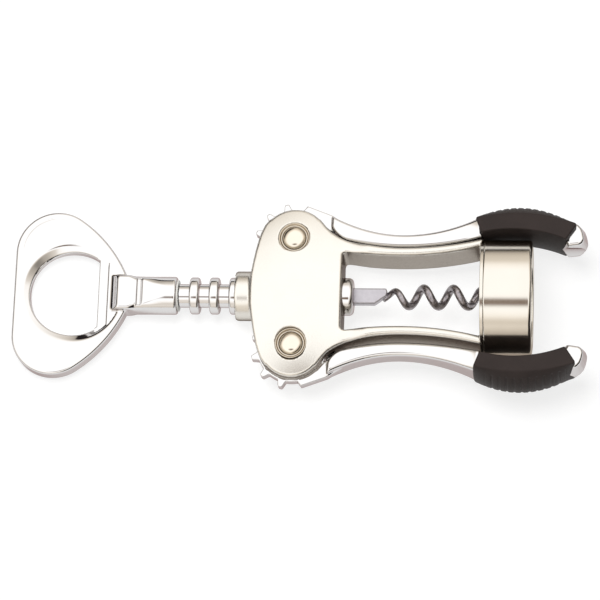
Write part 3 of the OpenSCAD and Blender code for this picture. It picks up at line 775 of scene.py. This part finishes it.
# the rings stand at whole pitches from the pivots, as many as the rack's length holds
rings, ring_ids = rings_tree()
first = math.ceil((rack_lo[0] + ring_w / 2 - pivot_x) / rack_pitch)
last = math.floor((rack_hi[0] - ring_w / 2 - pivot_x) / rack_pitch)
spindle = grow("spindle_ring_rack", rings, ring_ids, First_Ring=(pivot_x + first * rack_pitch) * MM,
               Pitch=rack_pitch * MM, Rings=last - first + 1, Ring_Width=ring_w * MM, Ring_Radius=ring_r * MM,
               Core_Radius=groove_r * MM, Corner=0.75 * MM, Core_Start=rack_lo[0] * MM, Core_End=rack_hi[0] * MM,
               Finish=chrome)
settle(clean(spindle), "rack", "chrome", chrome, "rack_sleeve")

settle(cast("cap_lifter_handle", cap_lifter, (plate_x0, -26.6, -6.1), (shank_end, 26.6, 6.1), 0.27),
       "screw", "chrome", chrome, "handle")

settle(cast("worm_flat_shank", worm_flat, (flat_x0, -flat_w, -flat_half), (flat_x1 + 0.5, flat_w, flat_half), 0.2),
       "screw", "worm_steel", sanded)
worm, worm_ids = worm_tree()
wire = grow("worm_spiral", worm, worm_ids, Start=(worm_x + hidden) * MM, Pitch=worm_pitch * MM,
            Turns=worm_turns - hidden / worm_pitch, Coil_Radius=(worm_r - wire_r) * MM, Wire_Radius=wire_r * MM,
            First_Angle=math.radians(worm_angle + 360 * hidden / worm_pitch), Swell=0.85, Point=0.35, Finish=gunmetal)
settle(clean(wire), "screw", "worm_steel", gunmetal, "worm")

rivet_top, head_r, pin_r = rivet_hi[2], rivet_hi[1] - pivot_y, 2.38
dome = [(rivet_top - (1 - math.cos(t)) * 1.6, head_r * math.sin(t) ** 0.9) for t in np.linspace(0.001, math.pi / 2, 18)]
half = dome + [(recess_z, head_r), (recess_z, pin_r)]
# rings that line each rivet recess and its groove, a dark lining that paints the recess's shade
cup_shape = ((0.02, 3.75), (0.12, 3.8), (0.1, 4.15), (0.62, 4.5), (0.72, 4.82), (-0.1, 4.85), (-0.1, 3.75))
pins, cups = [], []
for side in (1, -1):
    up = Matrix.Translation((pivot_x * MM, side * pivot_y * MM, 0)) @ Matrix.Rotation(-math.pi / 2, 4, "Y")
    pins.append(clean(lathe("pin", half + [(-x, r) for x, r in half[::-1]], 96, False), up))
    for face in (1, -1):
        ring = rounded([(face * (recess_z + h), r) for h, r in cup_shape], [0, 0.05, 0.1, 0.12, 0.1, 0, 0])
        cups.append(clean(lathe("cup", ring, 96), up))
settle(joined("pivot_rivets", pins), "body", "chrome", brassy, "rivets")
# the rings in the recesses carry the painted shade
settle(joined("rivet_cups_painted_shade", cups), "body", "satin_nickel", recess_shade_metal)

for side, word in ((1, "upper"), (-1, "lower")):
    lo_y, hi_y = sorted((side * 3.5, side * 30.4))
    arm = cast(word + "_lever_arm", hung(lever, side), (pivot_x - 13.4, lo_y, -7), (17.7, hi_y, 7), 0.32)
    settle(arm, word + "_arm", "chrome", chrome, word + "_lever")
    lo_y, hi_y = sorted((side * 12.5, side * 31))
    cover = cast(word + "_rubber_grip", hung(grip, side), (-19, lo_y, -grip_z), (14.8, hi_y, grip_z), 0.28)
    settle(cover, word + "_arm", "soft_grip", rubber, word + "_grip")

# parts that are shown as they come from the CAD model
for word, finish in (("seat_ring", pale_plastic), ("collar_bush", black_plastic), ("rivet_washers", pale_plastic),
                     ("thrust_washer", pale_plastic), ("handle_pin", turned), ("core_rod", turned)):
    dress(frame["nodes"][word], finish)


# ---------------------------------------------------------------- table top, light and camera
def rays(tree):
    """Whether a ray comes from the camera, and whether it comes by a reflection or through glass."""
    path = tree.nodes.new("ShaderNodeLightPath").outputs
    return path["Is Camera Ray"], sums(tree, "MAXIMUM", path["Is Glossy Ray"], path["Is Transmission Ray"])


def pale_table(reach=0.24, sides=64):
    """A round table top that the tool lies on with its bell and the end of its handle."""
    handle_rest = Vector((cad_lo[0], 0, -plate_half * MM))
    bell_rest = Vector((-8 * MM, 0, -bell_r * MM))
    white = bpy.data.materials.new("pale_table")
    white.use_nodes = True
    t = white.node_tree
    t.nodes.clear()
    direct, mirrored = rays(t)
    glow = sums(t, "MULTIPLY", sums(t, "MAXIMUM", direct, mirrored), table_glow)
    both = t.nodes.new("ShaderNodeAddShader")
    link(t, node(t, "ShaderNodeBsdfDiffuse", Color=(0.34, 0.338, 0.336, 1)).outputs[0], both.inputs[0])
    link(t, node(t, "ShaderNodeEmission", Color=(1, 1, 1, 1), Strength=glow).outputs[0], both.inputs[1])
    link(t, both.outputs[0], t.nodes.new("ShaderNodeOutputMaterial").inputs["Surface"])
    mesh = bpy.data.meshes.new("table_top")
    rim = [(reach * math.cos(a), reach * math.sin(a), 0) for a in np.linspace(0, 2 * math.pi, sides + 1)[:-1]]
    mesh.from_pydata(rim, [], [list(range(sides))])
    mesh.materials.append(white)
    table = stand("table_top", mesh)
    run = bell_rest - handle_rest
    table.rotation_euler = (0, math.atan2(-run.z, run.x), 0)
    table.location = (handle_rest + bell_rest) / 2 - Vector((0, 0, 0.0003))


# strengths of the light: on the table as it is seen, in reflections of the room, and on everything else
table_glow, room_glow, even_glow = 0.74, 1.58, 0.38
# height above the horizon, as the sine of its angle, and the colour of the room there
room = ((0.0, (0.015, 0.012, 0.012)), (0.04, (0.03, 0.026, 0.025)), (0.10, (0.38, 0.345, 0.30)),
        (0.30, (0.58, 0.53, 0.47)), (0.46, (0.70, 0.65, 0.59)), (0.60, (0.93, 0.90, 0.86)), (0.74, (1, 1, 1)))
# x and y of a side of the room, how squarely a ray points at it where its change begins and is complete, and how far
# that shifts the heights of the room down, or up where it is negative
corners = ((0.80, -0.60, 0.45, 0.9, 0.42), (-0.72, 0.69, 0.6, 0.95, 0.40), (0, -1, 0.9, 0.99, -0.3),
           (0, 1, 0.9, 0.99, -0.16))


def soft_studio(look):
    """A graded room for reflections, even pale light for everything else, and plain white behind the tool."""
    world = bpy.data.worlds.new("soft_studio")
    bpy.context.scene.world = world
    world.use_nodes = True
    t = world.node_tree
    t.nodes.clear()
    way = node(t, "ShaderNodeSeparateXYZ", Vector=t.nodes.new("ShaderNodeTexCoord").outputs["Generated"]).outputs
    drop = 0.0
    for x, y, low, high, depth in corners:
        dot = sums(t, "ADD", sums(t, "MULTIPLY", way["X"], x), sums(t, "MULTIPLY", way["Y"], y))
        drop = sums(t, "ADD", drop, eased(t, dot, From_Min=low, From_Max=high, To_Max=depth))
    height = sums(t, "MAXIMUM", sums(t, "SUBTRACT", way["Z"], drop), 0.0)
    sky = node(t, "ShaderNodeValToRGB", Fac=height)
    stops = sky.color_ramp.elements
    stops.remove(stops[1])
    for i, (at, colour) in enumerate(room):
        stop = stops[0] if i == 0 else stops.new(at)
        stop.position, stop.color = at, (*colour, 1)
    # a dark patch beside the camera, wider than it is deep
    off_x = sums(t, "MULTIPLY", way["X"], 0.55)
    off_y = sums(t, "SUBTRACT", way["Y"], look.y - 0.13)
    far = sums(t, "SQRT", sums(t, "ADD", sums(t, "MULTIPLY", off_x, off_x), sums(t, "MULTIPLY", off_y, off_y)))
    patch = eased(t, far, From_Min=0.05, From_Max=0.18, To_Min=1.0, To_Max=0.0)
    shade = node(t, "ShaderNodeMix", data_type="RGBA",
                 Factor=sums(t, "MULTIPLY", patch, sums(t, "GREATER_THAN", way["Z"], 0.5)))
    link(t, sky.outputs["Color"], shade.inputs[6])
    shade.inputs[7].default_value = (0.17, 0.12, 0.09, 1)
    graded = node(t, "ShaderNodeBackground", Color=shade.outputs[2], Strength=room_glow)
    even = node(t, "ShaderNodeBackground", Color=(1, 1, 1, 1), Strength=even_glow)
    plain = node(t, "ShaderNodeBackground", Color=(1, 1, 1, 1))
    direct, mirrored = rays(t)
    result = even
    for choice, light in ((mirrored, graded), (direct, plain)):
        mix = t.nodes.new("ShaderNodeMixShader")
        link(t, choice, mix.inputs[0])
        link(t, result.outputs[0], mix.inputs[1])
        link(t, light.outputs[0], mix.inputs[2])
        result = mix
    link(t, result.outputs[0], t.nodes.new("ShaderNodeOutputWorld").inputs["Surface"])


pale_table()
# the camera's own axes, to its right, up and back along its line of sight, and the point that it faces
right, above = Vector((0.9954, 0.0341, -0.0896)), Vector((-0.0066, 0.9567, 0.2909))
look = Vector((0.0956, -0.289, 0.9525)).normalized()
aim = Vector((-0.072, 0, 0)) - right * 0.0004059 - above * 0.0010052
soft_studio(look)

centre = (cad_lo + cad_hi) / 2
glow = bpy.data.lights.new("soft_box", "AREA")
glow.shape, glow.size, glow.energy = "DISK", 0.42, 4.3
soft_box = stand("soft_box", glow)
soft_box.location = (centre.x - 0.05, 0.06, 0.8)
soft_box.rotation_euler = (centre - soft_box.location).to_track_quat("-Z", "Y").to_euler()
soft_box.visible_glossy = False

camera = stand("camera", bpy.data.cameras.new("camera"))
camera.location = aim + look * 1.00463
camera.rotation_euler = Matrix((right, above, look)).transposed().to_euler()
camera.data.lens = 193.2
camera.data.clip_start, camera.data.clip_end = 0.05, 10
bpy.context.scene.camera = camera

bpy.context.scene.view_settings.view_transform = "Standard"
